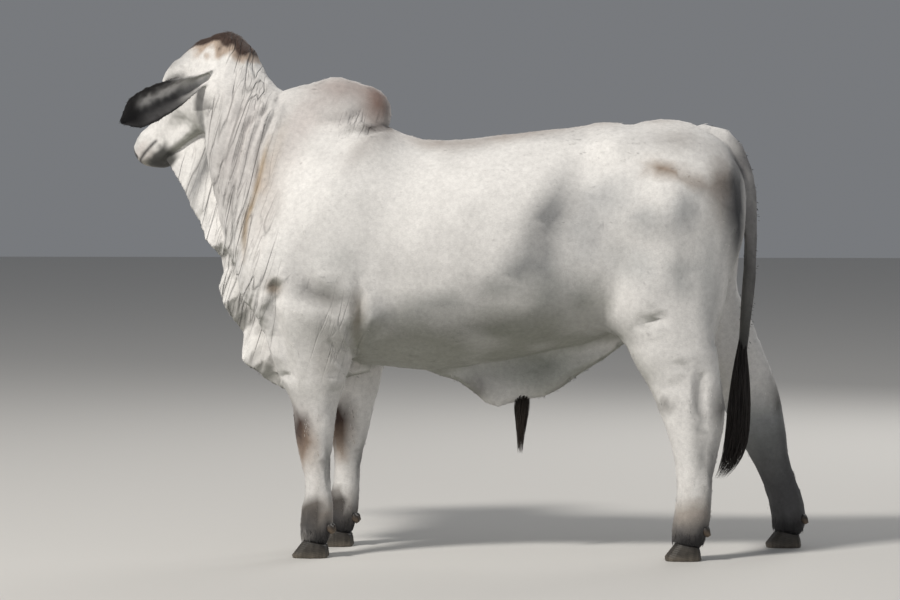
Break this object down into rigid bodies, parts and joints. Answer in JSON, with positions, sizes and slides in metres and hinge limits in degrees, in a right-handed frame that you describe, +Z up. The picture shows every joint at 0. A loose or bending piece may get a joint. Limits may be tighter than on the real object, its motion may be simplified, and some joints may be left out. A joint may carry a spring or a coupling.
{
  "type": "brahman bull figure",
  "caption": "Life-size still figure of a young humped grey-white bull standing square with its head turned away, with long drooping ears, a deep dewlap and a dark tail switch.",
  "frame": {"origin": "on the floor plane under the middle of the figure's bounding box, at the level of the hoof soles", "axes": "+X runs from the head to the tail, +Y is the bull's right side, +Z is up"},
  "size_m": [2.1368, 0.7206, 1.6144],
  "materials": {
    "coat": "short satin hair over loose skin, off-white with grey shading",
    "dark_hair": "long coarse black-brown hair",
    "hoof": "dull dark grey horn with fine growth rings",
    "eye": "wet dark gloss"
  },
  "bodies": {
    "root": {"hump": "coat", "torso": "coat", "rump": "coat", "neck": "coat", "head": "coat", "eye_left": "eye", "eye_right": "eye", "ear_left": "coat", "ear_right": "coat", "leg_fore_left": "coat", "hoof_fore_left_outer": "hoof", "dewclaw_fore_left_outer": "hoof", "hoof_fore_left_inner": "hoof", "dewclaw_fore_left_inner": "hoof", "leg_fore_right": "coat", "hoof_fore_right_outer": "hoof", "dewclaw_fore_right_outer": "hoof", "hoof_fore_right_inner": "hoof", "dewclaw_fore_right_inner": "hoof", "leg_hind_left": "coat", "hoof_hind_left_outer": "hoof", "dewclaw_hind_left_outer": "hoof", "hoof_hind_left_inner": "hoof", "dewclaw_hind_left_inner": "hoof", "leg_hind_right": "coat", "hoof_hind_right_outer": "hoof", "dewclaw_hind_right_outer": "hoof", "hoof_hind_right_inner": "hoof", "dewclaw_hind_right_inner": "hoof", "tail": "coat", "tail_switch": "dark_hair", "dewlap": "coat", "sheath": "coat", "sheath_tuft": "dark_hair", "scrotum": "coat"}
  },
  "joints": []
}
